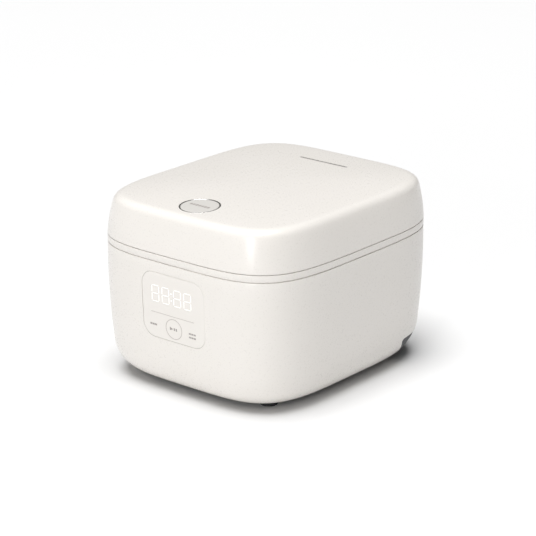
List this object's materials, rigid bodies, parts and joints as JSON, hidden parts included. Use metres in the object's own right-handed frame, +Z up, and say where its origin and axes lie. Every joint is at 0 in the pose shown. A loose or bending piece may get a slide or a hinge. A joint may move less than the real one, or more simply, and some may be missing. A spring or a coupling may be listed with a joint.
{
  "type": "rice cooker",
  "caption": "Rounded-square electric rice cooker: hinged lid with release button and steam slot, coated inner pot on a heating plate, touch panel on the front.",
  "frame": {"origin": "on the plane the feet stand on, under the middle of the whole box, hinge included", "axes": "+Z up, -Y out of the front with the control panel, +X to the right as seen from the front"},
  "size_m": [0.2506, 0.302, 0.1932],
  "materials": {
    "shell_white": "warm white moulded polypropylene, satin",
    "panel_white": "satin film over a clear window, warm white",
    "button_white": "satin light grey",
    "ring_grey": "satin grey ring",
    "base_grey": "fine texture, dark grey",
    "foot_rubber": "matt",
    "liner_grey": "satin heat-resistant plastic",
    "latch_plastic": "acetal, satin",
    "part_black": "moulded component cases",
    "inlet_black": "fine texture",
    "board": "glass-fibre board with solder mask",
    "screw_steel": "zinc plated",
    "spring_steel": "drawn wire",
    "jacket_steel": "pressed sheet",
    "plate_cast": "cast and turned on top",
    "sensor_metal": "pressed cap",
    "pin_brass": "nickel-flashed blades",
    "pot_coat": "non-stick coating with fine speckle",
    "lid_aluminium": "satin anodised",
    "seal_silicone": "translucent silicone"
  },
  "bodies": {
    "root": {"outer_shell": "shell_white", "base_cover": "base_grey", "feet": "foot_rubber", "base_screws": "screw_steel", "seam_band": "shell_white", "panel_window": "panel_white", "display_module": "part_black", "key_springs": "spring_steel", "control_board": "board", "board_screws": "screw_steel", "jacket": "jacket_steel", "heating_plate": "plate_cast", "plate_screws": "screw_steel", "sensor_guide": "liner_grey", "sensor_spring": "spring_steel", "thermal_fuse": "sensor_metal", "power_board": "board", "power_parts": "part_black", "power_inlet": "inlet_black", "inlet_pins": "pin_brass", "inner_pot": "pot_coat", "hinge_bracket": "shell_white", "bracket_screws": "screw_steel", "hinge_pin": "screw_steel", "hinge_springs": "spring_steel", "latch_catch": "screw_steel", "catch_screws": "screw_steel"},
    "sensor": {"pot_sensor": "sensor_metal"},
    "lid": {"lid_shell": "shell_white", "lid_liner": "liner_grey", "liner_screws": "screw_steel", "lid_plate": "lid_aluminium", "lid_gasket": "seal_silicone", "steam_box": "liner_grey", "steam_valve": "liner_grey", "lid_sensor": "sensor_metal", "hinge_arm": "shell_white", "arm_screws": "screw_steel", "button_ring": "ring_grey", "button_spring": "spring_steel", "latch_pin": "screw_steel", "latch_spring": "spring_steel"},
    "button": {"lid_button": "button_white"},
    "latch": {"latch_hook": "latch_plastic"}
  },
  "joints": [
    {"name": "lid_hinge", "type": "hinge", "parent": "root", "child": "lid", "pos_m": [0, 0.1455, 0.1485], "axis": [-1, 0, 0], "range_deg": [0, 85]},
    {"name": "button_slide", "type": "slide", "parent": "lid", "child": "button", "axis": [0, 0, -1], "range_m": [0, 0.0025], "stiffness_N_per_m": 500, "springref_m": -0.001, "deforming": ["button_spring"]},
    {"name": "latch_turn", "type": "hinge", "parent": "lid", "child": "latch", "pos_m": [0, -0.127, 0.16587], "axis": [-1, 0, 0], "range_deg": [0, 8]},
    {"name": "sensor_slide", "type": "slide", "parent": "root", "child": "sensor", "axis": [0, 0, -1], "range_m": [0, 0.0025], "stiffness_N_per_m": 400, "springref_m": -0.001, "deforming": ["sensor_spring"]}
  ],
  "couplings": [
    {"joint": "latch_turn", "follows": "button_slide", "rad_per_m": 55.85}
  ]
}
